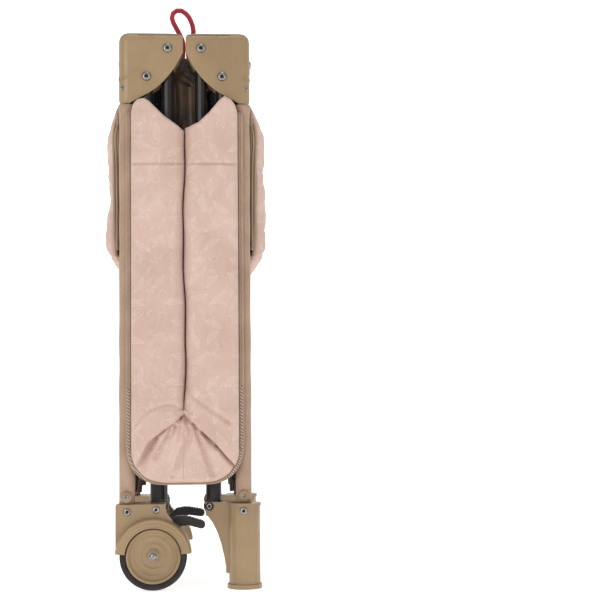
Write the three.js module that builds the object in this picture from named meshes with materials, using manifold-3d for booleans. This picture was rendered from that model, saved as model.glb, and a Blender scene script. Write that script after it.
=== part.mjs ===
// A folding playpen (travel cot) standing upright in its folded, stored state.
//
// Four corner posts stand close together. Every side has a folding rail whose halves hang down beside the
// posts, and four floor tubes stand up inside the package and carry a lifting hub with a pull loop.
// Opening turns every bar by 90 degrees, so the posts move apart and the hub goes down to floor height.
//
// Millimetres. +Z up, +X towards the feet end, the long side faces -Y. The origin is on the floor,
// midway between the four posts.

import * as THREE from "three";
import { mergeVertices } from "three/addons/utils/BufferGeometryUtils.js";
import Module from "manifold-3d";

const wasm = await Module();
wasm.setup();

// ---------------------------------------------------------------- driving dimensions
const HALF = 93.5; // outer half width of the folded package, both ways
const MID_GAP = 2; // half of the gap between two neighbouring corner brackets
const POST_AT = 82; // post axis, both ways
const POST_R = 9.5;
const SOCKET_R = 9.8;
const SLEEVE_R = 11.2;
const BAR_AT = 81; // depth at which the rail bars hang
const BAR_R = 8.75;
const EYE_R = 9;
const LONG_LINK = 536; // pivot to pivot on a long side
const SHORT_LINK = 236; // pivot to pivot on a short side
const FLOOR_LINK = Math.hypot(LONG_LINK, SHORT_LINK);
const SWING = Math.atan2(SHORT_LINK, LONG_LINK); // plan angle of the floor tubes from X
const UPPER = { at: 23.8, z: 766 }; // pivots of the long rails' upper and lower bars
const LOWER = { at: 53.7, z: 725 };
const SHORT = { at: 23.8, z: 757 };
const FLOOR = { x: 39.8, y: 55, z: 112.7, r: 11 };
const HUB_Z = FLOOR.z + FLOOR_LINK;
const BRACKET = { top: 790, low: 683, depth: 25, wall: 3.1, roof: 4 };
const SHOE_TOP = 119; // top of the feet and the wheel housings
const BOSS = { at: 83, r: 22 };
const WHEEL = { x: 45, y: 94, r: 47, width: 22 };
const FENDER = { outer: 53.6, inner: 49.5, lip: 39.6, front: 108.4, back: 79.7 };
const PIN = { r: 3, hole: 3.4, head: 6, headThick: 2.2, gap: 0.3 };
const FIT = 0.3; // clearance between touching pieces

// ---------------------------------------------------------------- materials
const material = (color, roughness, metalness = 0) =>
  new THREE.MeshStandardMaterial({ color, roughness, metalness });
const TAN = material(0xa58e6c, 0.5);
const BLACK_TUBE = material(0x2c2a29, 0.4, 0.3);
const BLACK_PLASTIC = material(0x15120f, 0.45);
const RUBBER = material(0x2b2826, 0.8);
const STEEL = material(0xb9bcc0, 0.25, 1);
const SLEEVE = material(0xb79d86, 0.9);
const PINK = material(0xd9bdae, 0.9);
const BROWN = material(0x5b4634, 0.7);
const RED = material(0xb3152c, 0.8);

// ---------------------------------------------------------------- shape helpers
// A closed three.js geometry as a manifold-3d solid, and back again.
function solid(geometry) {
  const bare = geometry.clone();
  bare.deleteAttribute("normal");
  bare.deleteAttribute("uv");
  const merged = mergeVertices(bare, 1e-3);
  return new wasm.Manifold(
    new wasm.Mesh({
      numProp: 3,
      vertProperties: merged.attributes.position.array,
      triVerts: new Uint32Array(merged.index.array),
    }),
  );
}

function geometryOf(made) {
  const { numProp, vertProperties, triVerts, numVert } = made.getMesh();
  const points = new Float32Array(numVert * 3);
  for (let i = 0; i < numVert; i++)
    points.set(vertProperties.subarray(i * numProp, i * numProp + 3), i * 3);
  return new THREE.BufferGeometry()
    .setAttribute("position", new THREE.BufferAttribute(points, 3))
    .setIndex(new THREE.BufferAttribute(triVerts, 1));
}

function box([x0, y0, z0], [x1, y1, z1]) {
  const made = new THREE.BoxGeometry(x1 - x0, y1 - y0, z1 - z0);
  return solid(made.translate((x0 + x1) / 2, (y0 + y1) / 2, (z0 + z1) / 2));
}

// A cylinder between two points.
function rod(from, to, radius, sides = 12) {
  const a = new THREE.Vector3(...from);
  const b = new THREE.Vector3(...to);
  const along = b.clone().sub(a);
  const made = new THREE.CylinderGeometry(radius, radius, along.length(), sides);
  made.applyQuaternion(
    new THREE.Quaternion().setFromUnitVectors(new THREE.Vector3(0, 1, 0), along.normalize()),
  );
  const middle = a.add(b).multiplyScalar(0.5);
  return solid(made.translate(middle.x, middle.y, middle.z));
}

// An outline drawn in X and Z, extruded from y0 to y1.
function plate(shape, y0, y1, curveSegments = 8) {
  const made = new THREE.ExtrudeGeometry(shape, { depth: y1 - y0, bevelEnabled: false, curveSegments });
  return solid(made.rotateX(Math.PI / 2).translate(0, y1, 0));
}

// The same solid with X and Y exchanged: a mirror, so a rotation follows it.
const exchanged = (made) => made.mirror([1, -1, 0]);

// Turned about Z through a point.
const turnedAt = (made, angle, [x, y]) =>
  made.rotate([0, 0, THREE.MathUtils.radToDeg(angle)]).translate([x, y, 0]);

const joined = (first, ...others) => others.reduce((sum, next) => sum.add(next), first);

const object = new THREE.Group();

function piece(parent, name, made, look) {
  const mesh = new THREE.Mesh(geometryOf(made), look);
  mesh.name = name;
  parent.add(mesh);
  return mesh;
}

// A rivet through a bar's eye, with a head outside each wall of the piece that holds it.
// It lies along the unit vector "along", centred on "at", between walls whose outer faces are "reach" away.
function pin(at, along, reach) {
  const end = (distance) => at.map((value, i) => value + along[i] * distance);
  const seat = reach + PIN.gap;
  const tip = seat + PIN.headThick;
  return joined(
    rod(end(-seat - 1), end(seat + 1), PIN.r, 8),
    rod(end(seat), end(tip), PIN.head, 10),
    rod(end(-tip), end(-seat), PIN.head, 10),
  );
}

// An upright bar with a round eye and a rivet at each end. "along" is the direction of its rivets.
function link([x, y], low, high, radius, eye, along, reach) {
  const end = (z, distance) => [x + along[0] * distance, y + along[1] * distance, z];
  return joined(
    rod([x, y, low], [x, y, high], radius),
    ...[low, high].flatMap((z) => [
      rod(end(z, -radius), end(z, radius), eye, 14),
      pin([x, y, z], [along[0], along[1], 0], reach),
    ]),
  );
}

// ---------------------------------------------------------------- one corner, drawn at the front left
// Outline of a bracket's wing: its underside is one long curve from the middle gap down to the post.
function wingOutline() {
  const shape = new THREE.Shape();
  shape.moveTo(-HALF, 692);
  shape.lineTo(-HALF, BRACKET.top);
  shape.lineTo(-38, BRACKET.top);
  shape.quadraticCurveTo(-14, BRACKET.top - 0.5, -MID_GAP - 2, BRACKET.top - 3.5);
  shape.lineTo(-MID_GAP, BRACKET.top - 7);
  shape.lineTo(-MID_GAP, 760);
  shape.bezierCurveTo(-13, 736, -30, 711, -58, 697.5);
  shape.quadraticCurveTo(-70, 691, -80, 685.5);
  shape.quadraticCurveTo(-88, 681.5, -92, 687);
  shape.lineTo(-HALF, 692);
  shape.closePath();
  return shape;
}

// What lies outside the wing's outline, below and beside the curve.
const belowWing = (y0, y1) =>
  box([-HALF - 1, y0, 600], [20, y1, BRACKET.top + 20]).subtract(plate(wingOutline(), y0 - 1, y1 + 1, 10));

// A box with every edge rounded, between two opposite corners.
function roundedBox([x0, y0, z0], [x1, y1, z1], radius) {
  const ball = wasm.Manifold.sphere(radius, 16);
  const middles = [x0 + radius, x1 - radius].flatMap((x) =>
    [y0 + radius, y1 - radius].flatMap((y) => [z0 + radius, z1 - radius].map((z) => [x, y, z])),
  );
  return wasm.Manifold.hull(middles.map((at) => ball.translate(at)));
}

function bracket() {
  const inner = HALF - BRACKET.depth;
  const wing = plate(wingOutline(), -HALF, -inner, 10);
  const slot = box(
    [-HALF + BRACKET.depth + 2.5, -HALF + BRACKET.wall, 600],
    [MID_GAP, -inner - BRACKET.wall, BRACKET.top - BRACKET.roof],
  );
  const hole = ({ at, z }) => rod([-at, -HALF - 5, z], [-at, -inner + 5, z], PIN.hole, 8);
  const corner = rod([-POST_AT, -POST_AT, 600], [-POST_AT, -POST_AT, 776], SOCKET_R, 16);
  const longWing = wing.subtract(slot).subtract(hole(UPPER)).subtract(hole(LOWER));
  const shortWing = exchanged(wing.subtract(slot).subtract(hole(SHORT)));
  const round = roundedBox([-HALF, -HALF, 600], [60, 60, BRACKET.top], 13);
  return longWing
    .subtract(exchanged(belowWing(-HALF - 1, -inner + 5)))
    .add(shortWing.subtract(belowWing(-HALF - 1, -inner + 5)))
    .subtract(corner)
    .intersect(round);
}

const inwards = [Math.cos(SWING), Math.sin(SWING)]; // the way the floor tube swings, in plan
const across = [-inwards[1], inwards[0]];
const FLOOR_SLOT = FLOOR.r + 0.6; // half width of the gap that holds a floor tube
const FLOOR_WALL = FLOOR_SLOT + 2.6;

// A solid drawn with X along the floor tube's swing and the tube's foot at X = 0, put in its place.
const alongSwing = (made) => turnedAt(made, SWING, [-FLOOR.x, -FLOOR.y]);

// The gap and the rivet hole for the floor tube, cut out of a foot or a wheel housing.
function floorSocket(made) {
  const gap = box([-12.6, -FLOOR_SLOT, FLOOR.z - 12.5], [30, FLOOR_SLOT, SHOE_TOP + 30]);
  const hole = rod([0, -40, FLOOR.z], [0, 40, FLOOR.z], PIN.hole, 8);
  return made.subtract(alongSwing(gap.add(hole)));
}

const postSocket = (from) => rod([-POST_AT, -POST_AT, from], [-POST_AT, -POST_AT, 200], SOCKET_R, 16);

function foot() {
  const web = new THREE.Shape();
  web.moveTo(-48, 20);
  web.lineTo(-26, 20);
  web.quadraticCurveTo(-17, 80, 3, 98.5);
  web.lineTo(6.5, 100);
  web.lineTo(7, SHOE_TOP);
  web.lineTo(-48, SHOE_TOP);
  web.closePath();
  const shell = joined(
    rod([-BOSS.at, -BOSS.at, 0], [-BOSS.at, -BOSS.at, SHOE_TOP], BOSS.r, 20),
    rod([-BOSS.at, -BOSS.at, 0], [-BOSS.at, -BOSS.at, 6], BOSS.r + 2.5, 20),
    rod([-BOSS.at, -BOSS.at, SHOE_TOP - 4], [-BOSS.at, -BOSS.at, SHOE_TOP], BOSS.r + 1.4, 20),
    alongSwing(plate(web, -FLOOR_WALL, FLOOR_WALL, 5)),
  );
  return floorSocket(shell).subtract(postSocket(40));
}

// The housing round the lower end of a wheel post: a boss, a web for the floor tube, a plate behind the
// wheel that carries the axle, and a fender over the wheel.
function wheelHousing() {
  const web = box([-40, -FLOOR_WALL, 92], [7, FLOOR_WALL, SHOE_TOP]);
  const round = (profile) => turned(profile, 36);
  const disc = (radius, y0, y1, sides = 36) =>
    rod([-WHEEL.x, y0, WHEEL.r], [-WHEEL.x, y1, WHEEL.r], radius, sides);
  const lower = WHEEL.r + 4;
  const upperHalf = box([-120, -120, lower], [20, -60, 140]);
  const { outer, inner, lip, front, back } = FENDER;
  const guard = round([
    [0, -front], [46, -front], [49.5, -front + 1], [52, -front + 3.4], [outer, -front + 7], [outer, -71], [0, -71],
  ]).intersect(upperHalf);
  const block = plate(blockOutline(lower), -98.5, -73, 4);
  const hanger = box([-WHEEL.x - 12, -back, 33], [-WHEEL.x + 12, -71, lower + 1]);
  const boss = rod([-POST_AT, -POST_AT, 92], [-POST_AT, -POST_AT, SHOE_TOP], 15.2, 20);
  const room = round([
    [0, -front + 2.6], [45, -front + 2.6], [48, -front + 3.6], [inner, -front + 6], [inner, -back], [0, -back],
  ]);
  const window = disc(lip, -front - 5, -back);
  const axleHole = disc(4.3, -90, -60, 10);
  const pedalHole = rod([PEDAL.x, -90, PEDAL.z], [PEDAL.x, -60, PEDAL.z], 4.3, 10);
  return floorSocket(joined(block, boss, alongSwing(web), guard, hanger))
    .subtract(room)
    .subtract(window)
    .subtract(axleHole)
    .subtract(pedalHole)
    .subtract(postSocket(100));
}

// The housing's block, seen from the front: upright on its outer side, and sloping down to the fender.
function blockOutline(lower) {
  const shape = new THREE.Shape();
  shape.moveTo(-97.5, lower);
  shape.lineTo(-97.5, SHOE_TOP - 1);
  shape.lineTo(-96.5, SHOE_TOP);
  shape.lineTo(-29, SHOE_TOP);
  shape.lineTo(-27.5, 111);
  shape.quadraticCurveTo(-27, 100, -18, 94);
  shape.lineTo(-40, 70);
  shape.lineTo(-70, lower);
  shape.closePath();
  return shape;
}

const PEDAL = { x: -18, z: 84, tip: 40, lift: 8, near: -70.6, far: -57 };

// The brake pedal: a bent arm with a pad at its tip. "lift" turns it up from its pressed position.
function pedal(lift) {
  const half = 5.6;
  const bend = new THREE.Shape();
  bend.moveTo(-8, 5);
  bend.lineTo(4, 15.5);
  bend.lineTo(16, 16);
  bend.lineTo(23, 14.6);
  bend.lineTo(PEDAL.tip + 1.6, half + 3);
  bend.absarc(PEDAL.tip, 3.3, half, 1.2, -2, true);
  bend.lineTo(22, 2.6);
  bend.lineTo(12, 2.2);
  bend.lineTo(4, -5);
  bend.closePath();
  const arm = plate(bend, PEDAL.near, PEDAL.far, 3);
  const shaft = joined(
    rod([0, PEDAL.near, 0], [0, PEDAL.far, 0], 5.5, 12),
    rod([0, PEDAL.near - 8, 0], [0, PEDAL.near + 1, 0], 4, 10),
  );
  return arm.add(shaft).rotate([0, -lift, 0]).translate([PEDAL.x, 0, PEDAL.z]);
}

// A body of revolution about the wheel's axle, from (radius, y) points that start and end on the axis
// or close on themselves.
function turned(profile, sides) {
  const made = new THREE.LatheGeometry(profile.map(([r, y]) => new THREE.Vector2(r, y)), sides);
  return solid(made).translate([-WHEEL.x, 0, WHEEL.r]);
}

function wheelParts(group, end) {
  const front = -WHEEL.y - WHEEL.width / 2;
  const back = -WHEEL.y + WHEEL.width / 2;
  const rim = 38;
  // Profiles run along Y at x = radius; a lathe turns about Y, which is the axle's direction.
  const hub = turned(
    [[4.3, front + 6], [31, front + 6], [34, front + 1.5], [rim, front + 1.5], [rim, back - 2],
     [12, back - 2], [10, back + 1.5], [4.3, back + 1.5], [4.3, front + 6]],
    24,
  );
  const tyre = turned(
    [[rim + FIT, front + 2], [44, front], [WHEEL.r, front + 4], [WHEEL.r, back - 4], [44, back],
     [rim + FIT, back - 2], [rim + FIT, front + 2]],
    32,
  );
  const axle = joined(
    rod([-WHEEL.x, front + 4, WHEEL.r], [-WHEEL.x, -69, WHEEL.r], 4, 10),
    rod([-WHEEL.x, front + 2.5, WHEEL.r], [-WHEEL.x, front + 5.7, WHEEL.r], 6.5, 12),
    rod([-WHEEL.x, -70.7, WHEEL.r], [-WHEEL.x, -68, WHEEL.r], 6.5, 12),
  );
  piece(group, "wheel_hub_" + end, hub, TAN);
  piece(group, "tyre_" + end, tyre, RUBBER);
  piece(group, "axle_" + end, axle, STEEL);
}

// ---------------------------------------------------------------- soft panels
// Half of a long side's fabric, folded into one flat column that hangs beside its post.
function longColumn() {
  const shape = new THREE.Shape();
  shape.moveTo(-1.8, 150);
  shape.lineTo(-1.8, 648);
  shape.lineTo(-56, 690);
  shape.lineTo(-70, 682);
  shape.lineTo(-74, 660);
  shape.lineTo(-74, 226);
  shape.quadraticCurveTo(-70, 162, -36, 152);
  shape.closePath();
  return plate(shape, -118, -97.3, 5);
}

// Half of a short side's fabric: a thick bundle beside the folded rail, thinner below it.
function shortColumn() {
  const shape = new THREE.Shape();
  shape.moveTo(-85, 160);
  shape.lineTo(-85, 452);
  shape.lineTo(-97.3, 480);
  shape.lineTo(-97.3, 686);
  shape.lineTo(-101, 686);
  shape.quadraticCurveTo(-114, 660, -112, 560);
  shape.lineTo(-113, 500);
  shape.lineTo(-107, 462);
  shape.lineTo(-90, 442);
  shape.lineTo(-90, 160);
  shape.closePath();
  return plate(shape, -69, -1.8, 5);
}

// ---------------------------------------------------------------- the four corners
function corner(name, x, y, onWheels) {
  const group = new THREE.Group();
  group.scale.set(-x, -y, 1);
  object.add(group);
  const post = ([x0, y0], low, high, r) => rod([x0, y0, low], [x0, y0, high], r, 16);
  const postLow = onWheels ? 100.3 : 40.3;
  piece(group, "post_tube_" + name, post([-POST_AT, -POST_AT], postLow, 775.7, POST_R), BLACK_TUBE);
  const sleeve = post([-POST_AT, -POST_AT], SHOE_TOP + 2, BRACKET.low - 2, SLEEVE_R).subtract(
    post([-POST_AT, -POST_AT], 0, 800, POST_R + FIT),
  );
  piece(group, "post_sleeve_" + name, sleeve, SLEEVE);
  piece(group, "corner_bracket_" + name, bracket(), TAN);
  piece(group, "long_side_fabric_" + name, longColumn(), PINK);
  piece(group, "short_side_fabric_" + name, shortColumn(), PINK);
  piece(
    group,
    "floor_tube_" + name,
    link([-FLOOR.x, -FLOOR.y], FLOOR.z, HUB_Z, FLOOR.r, FLOOR.r + 0.2, across, FLOOR_WALL),
    BLACK_TUBE,
  );
  const bar = ({ at, z }, length) =>
    link([-at, -BAR_AT], z - length, z, BAR_R, EYE_R, [0, 1], HALF - BAR_AT);
  piece(group, "long_rail_upper_bar_" + name, bar(UPPER, LONG_LINK), BLACK_TUBE);
  piece(group, "long_rail_lower_bar_" + name, bar(LOWER, LONG_LINK), BLACK_TUBE);
  piece(group, "short_rail_bar_" + name, exchanged(bar(SHORT, SHORT_LINK)), BLACK_TUBE);
  if (onWheels) {
    piece(group, "wheel_housing_" + name, wheelHousing(), TAN);
    wheelParts(group, name);
    piece(group, "brake_pedal_" + name, pedal(y < 0 ? 0 : PEDAL.lift), BLACK_PLASTIC);
  } else {
    piece(group, "foot_" + name, foot(), TAN);
  }
}

// ---------------------------------------------------------------- centre hinges of the four rails
const BUTTON = { half: 6, deep: 5, travel: 4 };

// The release button, and the pocket that it slides in, at the foot of a centre hinge.
const button = (z) => box([-BUTTON.half, -BAR_AT - BUTTON.deep, z - 4], [BUTTON.half, -BAR_AT + BUTTON.deep, z + 8]);
const buttonPocket = (z) =>
  box(
    [-BUTTON.half - 0.4, -BAR_AT - BUTTON.deep - 0.4, z - 5],
    [BUTTON.half + 0.4, -BAR_AT + BUTTON.deep + 0.4, z + 8 + BUTTON.travel + 0.6],
  );

// Two cheeks, whose outline is mirrored about X = 0, joined by a web between the bars' ends.
function hinge(halfOutline, pivots, low, high, web) {
  const shape = new THREE.Shape();
  halfOutline.forEach(([x, z], i) => (i ? shape.lineTo(x, z) : shape.moveTo(x, z)));
  [...halfOutline].reverse().forEach(([x, z]) => shape.lineTo(-x, z));
  const y = { outer: -HALF, inner: -HALF + BRACKET.depth };
  const cheeks = plate(shape, y.outer, y.inner).subtract(
    box([-200, y.outer + BRACKET.wall, 0], [200, y.inner - BRACKET.wall, 900]),
  );
  const holes = pivots.flatMap(([at, z]) =>
    [-at, at].map((x) => rod([x, -120, z], [x, -40, z], PIN.hole, 8)),
  );
  return joined(cheeks, box([-web, y.outer + 1, low], [web, y.inner - 1, high]))
    .subtract(joined(...holes))
    .subtract(buttonPocket(low));
}

function longHinge() {
  const upper = UPPER.z - LONG_LINK;
  const lower = LOWER.z - LONG_LINK;
  const outline = [[10, 177], [64, 177], [66, 196], [38, 243], [10, 246]];
  const pivots = [[UPPER.at, upper], [LOWER.at, lower]];
  return hinge(outline, pivots, 177, 246, 9.5);
}

function shortHinge() {
  const pivot = SHORT.z - SHORT_LINK;
  const low = pivot - 14;
  const outline = [[9, low], [32, low], [36, pivot], [32, pivot + 14], [9, pivot + 14]];
  return hinge(outline, [[SHORT.at, pivot]], low, pivot + 14, 9.5);
}

function rails() {
  for (const [name, y] of [["front", -1], ["back", 1]]) {
    const group = new THREE.Group();
    group.scale.set(1, -y, 1);
    object.add(group);
    piece(group, "long_rail_hinge_" + name, longHinge(), TAN);
    piece(group, "long_rail_button_" + name, button(177), BLACK_PLASTIC);
  }
  for (const [name, x] of [["left", -1], ["right", 1]]) {
    const group = new THREE.Group();
    group.scale.set(-x, 1, 1);
    object.add(group);
    piece(group, "short_rail_hinge_" + name, exchanged(shortHinge()), TAN);
    piece(group, "short_rail_button_" + name, exchanged(button(SHORT.z - SHORT_LINK - 14)), BLACK_PLASTIC);
  }
}

// ---------------------------------------------------------------- floor hub, its fabric and the pull loop
function hub() {
  const low = HUB_Z - 10;
  const high = HUB_Z + 13;
  const arm = box([-7, -FLOOR_WALL, low], [30, FLOOR_WALL, high - 5]);
  const gap = box([-40, -FLOOR_SLOT, 0], [12.6, FLOOR_SLOT, 900]);
  const hole = rod([0, -40, HUB_Z], [0, 40, HUB_Z], PIN.hole, 8);
  const ways = [[1, 1], [-1, 1], [1, -1], [-1, -1]];
  // Each arm is drawn at the front left and mirrored to its own corner.
  const atCorners = (made) =>
    ways.map(([x, y]) => {
      let put = alongSwing(made);
      if (x < 0) put = put.mirror([1, 0, 0]);
      if (y < 0) put = put.mirror([0, 1, 0]);
      return put;
    });
  const middle = box([-27, -58, low], [27, 58, high]);
  return joined(middle, ...atCorners(arm)).subtract(joined(...atCorners(gap.add(hole))));
}

function floorFabric() {
  return box([-23, -38, 440], [23, 38, HUB_Z - 10.5]);
}

// The loop's route in X and Z, from the hub up, round and back down to it.
const LOOP = [
  [-4.2, 712.2], [-4.4, 728], [-4.4, 745], [-4, 762], [-3.2, 780], [-3, 796], [-8, 809], [-15, 822],
  [-19.5, 833], [-17, 842], [-8, 845.5], [2, 840], [9, 829], [12.5, 815], [11.5, 802], [8, 790],
  [5.6, 777], [4.8, 762], [4.4, 745], [4.4, 728], [4.2, 712.2],
];
const LOOP_R = 3.4;

function pullLoop() {
  const lift = HUB_Z + 13.3 - LOOP[0][1];
  const ends = (i) => (i < 5 || i > LOOP.length - 6 ? lift * (1 - Math.min(i, LOOP.length - 1 - i) / 5) : 0);
  const route = new THREE.CatmullRomCurve3(
    LOOP.map(([x, z], i) => new THREE.Vector3(x, 0, z + ends(i))),
    false,
    "centripetal",
  );
  const section = new THREE.Shape().absarc(0, 0, LOOP_R, 0, 2 * Math.PI, false);
  return solid(
    new THREE.ExtrudeGeometry(section, { steps: 30, bevelEnabled: false, extrudePath: route, curveSegments: 4 }),
  );
}

// ---------------------------------------------------------------- assembly
corner("front_left", -1, -1, true);
corner("front_right", 1, -1, false);
corner("back_left", -1, 1, true);
corner("back_right", 1, 1, false);
rails();
piece(object, "floor_hub", hub(), BLACK_PLASTIC);
piece(object, "floor_fabric", floorFabric(), BROWN);
piece(object, "pull_loop", pullLoop(), RED);

export default object;
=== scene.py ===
"""A folding playpen, folded and standing upright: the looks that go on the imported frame.

Metres, in the CAD frame: +Z up, +X towards the plain feet, the front faces -Y.
"""
import math

import bmesh
import bpy
import numpy as np
from mathutils import Matrix, Quaternion, Vector


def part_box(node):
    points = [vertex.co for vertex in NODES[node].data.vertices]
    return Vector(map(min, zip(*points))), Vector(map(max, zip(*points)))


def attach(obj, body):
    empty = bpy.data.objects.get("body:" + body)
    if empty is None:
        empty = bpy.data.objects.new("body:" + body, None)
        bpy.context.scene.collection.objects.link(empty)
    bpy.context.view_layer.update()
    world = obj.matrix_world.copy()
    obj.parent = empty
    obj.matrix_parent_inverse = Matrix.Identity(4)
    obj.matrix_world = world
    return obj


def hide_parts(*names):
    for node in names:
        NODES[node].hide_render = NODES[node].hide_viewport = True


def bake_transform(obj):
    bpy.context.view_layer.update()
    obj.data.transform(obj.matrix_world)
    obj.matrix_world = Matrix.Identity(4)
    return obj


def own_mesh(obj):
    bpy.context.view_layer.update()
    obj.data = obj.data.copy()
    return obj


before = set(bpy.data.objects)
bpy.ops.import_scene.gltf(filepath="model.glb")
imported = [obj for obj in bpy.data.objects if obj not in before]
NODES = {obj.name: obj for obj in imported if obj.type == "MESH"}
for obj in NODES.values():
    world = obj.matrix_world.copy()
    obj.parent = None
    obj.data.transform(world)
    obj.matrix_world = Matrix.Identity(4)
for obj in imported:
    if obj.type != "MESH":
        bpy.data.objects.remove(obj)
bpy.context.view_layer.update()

# ---------------------------------------------------------------- places, from the CAD
CORNERS = {"front_left": (-1, -1), "front_right": (1, -1), "back_left": (-1, 1), "back_right": (1, 1)}
WHEELED = ("front_left", "back_left")
POST_AT = 0.082
HALF = 0.0935  # the brackets' outer faces
UPPER = (0.0238, 0.766)  # pivots on the brackets: distance from the middle, height
LOWER = (0.0537, 0.725)
SHORT = (0.0238, 0.757)
FLOOR_PIVOT = (0.0398, 0.055, 0.1127)
SWING = math.atan2(0.236, 0.536)
WHEEL = (-0.045, 0.094, 0.047)
CLOTH_BACK = 0.0973  # the inner face of the cloth columns
SEAM_Z = 0.597
COLUMN_OUTER = 0.0757  # a long side's column reaches this far from the middle
COLUMN_DEPTH = 0.0205  # how far a column stands out of its back plane
CREASE_END = 0.252  # below this height the two columns press together
CREASE_ROUND = 0.0125  # radius of the columns' inner edges
PINCH_Z = 0.25  # the cloth is gathered below this


# ---------------------------------------------------------------- materials
def srgb(r, g, b):
    """A colour picked on a screen, 0 to 255, as Blender's linear colour."""
    def linear(c):
        c /= 255
        return c / 12.92 if c <= 0.04045 else ((c + 0.055) / 1.055) ** 2.4
    return (linear(r), linear(g), linear(b), 1)


class Look:
    """A node material under construction, with short ways to add nodes."""

    def __init__(self, name, roughness=0.5, **shader):
        self.material = bpy.data.materials.new(name)
        self.material.use_nodes = True
        self.tree = self.material.node_tree
        self.shader = self.tree.nodes["Principled BSDF"]
        self.shader.inputs["Roughness"].default_value = roughness
        for socket, value in shader.items():
            self.shader.inputs[socket.replace("_", " ")].default_value = value

    def node(self, kind, inputs=None, **settings):
        made = self.tree.nodes.new("ShaderNode" + kind)
        for key, value in settings.items():
            setattr(made, key, value)
        for key, value in (inputs or {}).items():
            self.put(value, made.inputs[key])
        return made

    def put(self, value, socket):
        if isinstance(value, bpy.types.NodeSocket):
            self.tree.links.new(value, socket)
        else:
            socket.default_value = value

    def math(self, operation, a, b=0.0, clamp=False):
        made = self.node("Math", {0: a, 1: b}, operation=operation, use_clamp=clamp)
        return made.outputs[0]

    def place(self):
        return self.node("TexCoord").outputs["Object"]

    def noise(self, scale, detail=3.0, at=None):
        inputs = {"Vector": at or self.place(), "Scale": scale, "Detail": detail}
        return self.node("TexNoise", inputs).outputs["Fac"]

    def ramp(self, value, low, high, out_low=0.0, out_high=1.0):
        made = self.node("MapRange", {0: value, 1: low, 2: high, 3: out_low, 4: out_high})
        return made.outputs[0]

    def mix(self, amount, a, b):
        made = self.node("Mix", data_type="RGBA")
        self.put(amount, made.inputs[0])
        self.put(a, made.inputs[6])
        self.put(b, made.inputs[7])
        return made.outputs[2]

    def color(self, value):
        self.put(value, self.shader.inputs["Base Color"])

    def rough(self, value):
        self.put(value, self.shader.inputs["Roughness"])

    def bump(self, height, distance, strength=1.0):
        made = self.node("Bump", {"Height": height, "Distance": distance, "Strength": strength})
        earlier = self.shader.inputs["Normal"].links
        if earlier:
            self.tree.links.new(earlier[0].from_socket, made.inputs["Normal"])
        self.tree.links.new(made.outputs[0], self.shader.inputs["Normal"])


def moulded(name, color, roughness, grain=0.00012):
    """Moulded plastic: a fine spark-eroded grain, with slight cloudiness and dulled patches."""
    look = Look(name, roughness)
    cloud = look.noise(14.0, 4.0)
    dark = tuple(c * 0.86 for c in color[:3]) + (1,)
    light = tuple(min(1, c * 1.08) for c in color[:3]) + (1,)
    look.color(look.mix(look.ramp(cloud, 0.3, 0.7), dark, light))
    look.rough(look.ramp(look.noise(60.0, 5.0), 0.3, 0.7, roughness - 0.07, roughness + 0.1))
    look.bump(look.noise(1500.0, 2.0), grain)
    return look.material


def coated_tube():
    """Satin black powder coat with orange peel."""
    look = Look("black_powder_coat", 0.38, Specular_IOR_Level=0.4)
    look.color(look.mix(look.ramp(look.noise(25.0), 0.3, 0.7), srgb(20, 17, 15), srgb(29, 25, 22)))
    look.bump(look.noise(420.0, 2.0), 0.0002)
    return look.material


def polished_steel():
    look = Look("polished_steel", 0.3, Metallic=1.0)
    look.color(look.mix(look.ramp(look.noise(400.0), 0.35, 0.65), srgb(128, 125, 122), srgb(176, 174, 171)))
    look.rough(look.ramp(look.noise(900.0, 4.0), 0.3, 0.7, 0.22, 0.4))
    return look.material


def rubber():
    look = Look("tyre_rubber", 0.75)
    look.color(look.mix(look.ramp(look.noise(70.0, 6.0), 0.4, 0.75), srgb(30, 27, 25), srgb(50, 45, 41)))
    look.bump(look.noise(900.0, 3.0), 0.0003)
    return look.material


def weave(look, pitch, depth, across):
    """Threads over and under each other. across names the two directions that the cloth lies in."""
    parts = look.node("SeparateXYZ", {0: look.place()}).outputs
    first = look.math("SINE", look.math("MULTIPLY", parts[across[0]], math.tau / pitch))
    second = look.math("SINE", look.math("MULTIPLY", parts[across[1]], math.tau / pitch))
    threads = look.math("MULTIPLY", first, second)
    look.bump(threads, depth)
    return threads


def cloth(name, dark, light, pitch=0.0011, depth=0.00012, across=(0, 2), sheen=0.25, roughness=0.85):
    """Plain woven cloth, mottled at the scale of a hand and of a thread."""
    look = Look(name, roughness, Sheen_Weight=sheen, Sheen_Roughness=0.5)
    mottle = look.math("ADD", look.math("MULTIPLY", look.noise(22.0, 3.0), 0.7),
                       look.math("MULTIPLY", look.noise(500.0, 2.0), 0.3))
    look.color(look.mix(look.ramp(mottle, 0.35, 0.65), dark, light))
    look.bump(look.noise(90.0, 4.0), 0.0006)
    weave(look, pitch, depth, across)
    return look


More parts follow.
